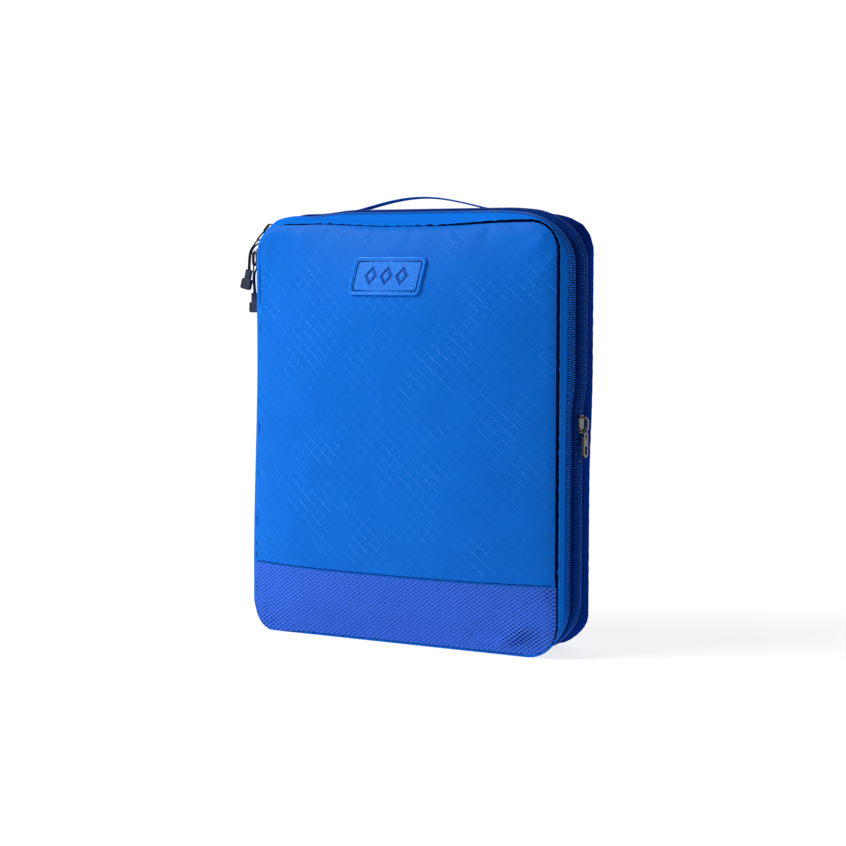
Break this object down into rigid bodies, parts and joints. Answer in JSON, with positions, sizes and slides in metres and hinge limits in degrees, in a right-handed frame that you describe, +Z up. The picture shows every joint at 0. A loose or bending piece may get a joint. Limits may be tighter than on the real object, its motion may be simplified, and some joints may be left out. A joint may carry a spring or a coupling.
{
  "type": "packing cube",
  "caption": "Soft compression packing cube standing upright, with a ripstop front lid, mesh window, two perimeter zips, cord and metal pulls and a flat carry handle.",
  "frame": {"origin": "middle of the bottom of the standing cube, on the surface it stands on, without the pull cords", "axes": "+Z up, +X to the right seen from the front, front face towards -Y"},
  "size_m": [0.3267, 0.0925, 0.3898],
  "materials": {
    "ripstop": "cobalt blue ripstop nylon with a fine woven grid",
    "plain_fabric": "dark blue plain-woven nylon, lined",
    "mesh": "violet-blue knitted polyester mesh",
    "binding": "blue woven binding tape",
    "zip_tape": "blue twill zip tape",
    "zip_coil": "blue nylon coil",
    "webbing": "dark blue flat webbing",
    "gunmetal": "gunmetal plated zinc",
    "cord": "navy braided cord",
    "cord_end": "navy moulded rubber",
    "patch_rubber": "blue moulded rubber with a polished rim"
  },
  "bodies": {
    "back_shell": {"back_panel": "plain_fabric", "back_gusset": "plain_fabric", "back_seam_binding": "binding", "compression_zip_rear_tape": "zip_tape", "compression_zip_rear_coil": "zip_coil", "compression_zip_stop": "gunmetal", "handle_end_left": "webbing", "handle_end_right": "webbing"},
    "mid_frame": {"compression_zip_front_tape": "zip_tape", "compression_zip_front_coil": "zip_coil", "middle_gusset": "plain_fabric", "main_zip_rear_tape": "zip_tape", "main_zip_rear_coil": "zip_coil", "hinge_strip": "binding", "expansion_gusset": "plain_fabric", "compression_zip_end_tab": "binding"},
    "front_lid": {"front_panel": "ripstop", "front_mesh_window": "mesh", "mesh_seam_binding": "binding", "front_seam_binding": "binding", "main_zip_front_tape": "zip_tape", "main_zip_front_coil": "zip_coil", "lid_bottom_strip": "zip_tape", "patch": "patch_rubber"},
    "slider_upper": {"main_slider_upper": "gunmetal"},
    "pull_upper": {"main_ring_upper": "gunmetal", "pull_cord_upper": "cord", "cord_end_upper": "cord_end"},
    "slider_lower": {"main_slider_lower": "gunmetal"},
    "pull_lower": {"main_ring_lower": "gunmetal", "pull_cord_lower": "cord", "cord_end_lower": "cord_end"},
    "slider_compression": {"compression_slider": "gunmetal"},
    "pull_compression": {"compression_pull": "gunmetal"},
    "handle": {"handle_strap": "webbing"}
  },
  "joints": [
    {"name": "compression_expand", "type": "slide", "parent": "back_shell", "child": "mid_frame", "axis": [0, -1, 0], "range_m": [0, 0.03], "deforming": ["expansion_gusset"]},
    {"name": "lid_hinge", "type": "hinge", "parent": "mid_frame", "child": "front_lid", "pos_m": [0, -0.0132, 0], "axis": [1, 0, 0], "range_deg": [0, 175]},
    {"name": "upper_slider_travel", "type": "hinge", "parent": "mid_frame", "child": "slider_upper", "pos_m": [-0.1065, -0.0132, 0.328], "axis": [0, 1, 0], "range_deg": [0, 45]},
    {"name": "upper_pull_swing", "type": "hinge", "parent": "slider_upper", "child": "pull_upper", "pos_m": [-0.14362, -0.0132, 0.35971], "axis": [0, 1, 0], "range_deg": [0, 130]},
    {"name": "lower_slider_travel", "type": "slide", "parent": "mid_frame", "child": "slider_lower", "axis": [0, 0, -1], "range_m": [0, 0.27]},
    {"name": "lower_pull_swing", "type": "hinge", "parent": "slider_lower", "child": "pull_lower", "pos_m": [-0.1552, -0.0132, 0.3402], "axis": [0, 1, 0], "range_deg": [0, 140]},
    {"name": "compression_slider_travel", "type": "slide", "parent": "back_shell", "child": "slider_compression", "axis": [0, 0, -1], "range_m": [0, 0.135]},
    {"name": "compression_pull_swing", "type": "hinge", "parent": "slider_compression", "child": "pull_compression", "pos_m": [0.1582, 0.0038, 0.1934], "axis": [0, -1, 0], "range_deg": [0, 110]},
    {"name": "handle_tilt", "type": "hinge", "parent": "back_shell", "child": "handle", "pos_m": [0, 0.0168, 0.3746], "axis": [1, 0, 0], "range_deg": [-25, 25]}
  ]
}
